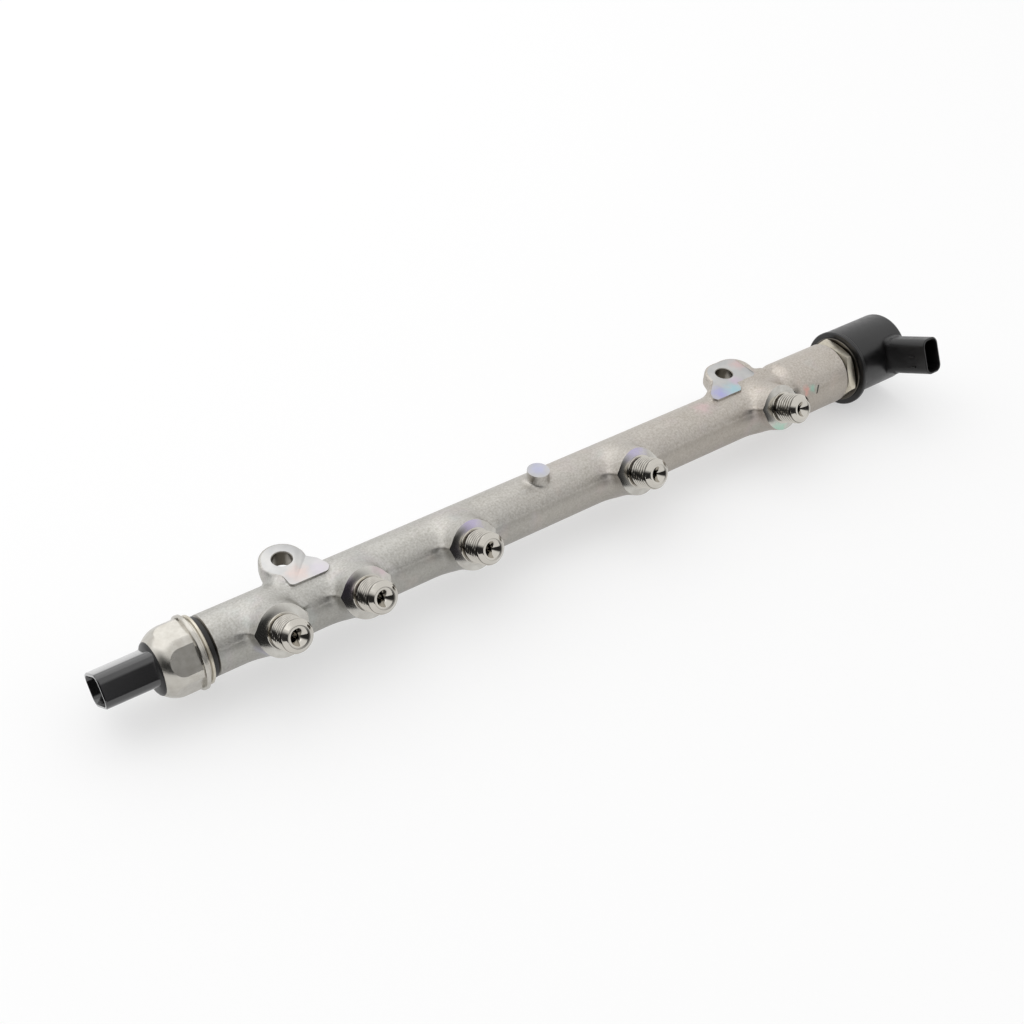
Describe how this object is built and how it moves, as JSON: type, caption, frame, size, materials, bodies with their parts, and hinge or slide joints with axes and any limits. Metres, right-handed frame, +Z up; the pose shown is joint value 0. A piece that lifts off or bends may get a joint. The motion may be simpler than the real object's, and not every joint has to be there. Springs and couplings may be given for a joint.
{
  "type": "fuel rail",
  "caption": "Forged steel common-rail fuel rail with threaded pipe stubs, bolt lugs, a pressure sensor on the left end and a solenoid pressure control valve on the right end.",
  "frame": {"origin": "midway between the two lug holes, on the underside of the lugs that sits on the engine", "axes": "+X along the tube from the sensor end to the valve end, +Z up along the lug bolts out of the milled lug faces, +Y toward the lugs, so the pipe stubs point to -Y and up"},
  "size_m": [0.4371, 0.0632, 0.0467],
  "materials": {
    "plated_steel": "satin",
    "stainless_steel": "satin",
    "bright_steel": "satin",
    "magnet_steel": "satin",
    "hard_steel": "polished",
    "black_plastic": "satin",
    "pale_plastic": "matt",
    "black_rubber": "matt",
    "board_green": "satin",
    "contact_brass": "satin",
    "copper_winding": "gloss"
  },
  "bodies": {
    "rail": {"rail_body": "plated_steel", "sensor_body": "stainless_steel", "sensor_seal_ring": "black_rubber", "sensor_washer": "bright_steel", "sensor_cell": "stainless_steel", "sensor_carrier": "pale_plastic", "sensor_board": "board_green", "sensor_o_ring": "black_rubber", "sensor_housing": "black_plastic", "sensor_pins": "contact_brass", "valve_union_nut": "bright_steel", "valve_body": "magnet_steel", "valve_seat": "hard_steel", "valve_spring": "hard_steel", "valve_sleeve": "stainless_steel", "valve_pole_plate": "bright_steel", "valve_bobbin": "black_plastic", "valve_coil": "copper_winding", "valve_can": "magnet_steel", "valve_housing": "black_plastic", "valve_pins": "contact_brass", "valve_o_ring": "black_rubber", "valve_backup_ring": "pale_plastic"},
    "armature_set": {"valve_ball": "hard_steel", "valve_push_pin": "hard_steel", "valve_armature": "magnet_steel"}
  },
  "joints": [
    {"name": "valve_stroke", "type": "slide", "parent": "rail", "child": "armature_set", "axis": [1, 0, 0], "range_m": [0, 0.0004], "stiffness_N_per_m": 4000, "springref_m": -0.001, "deforming": ["valve_spring"]}
  ]
}
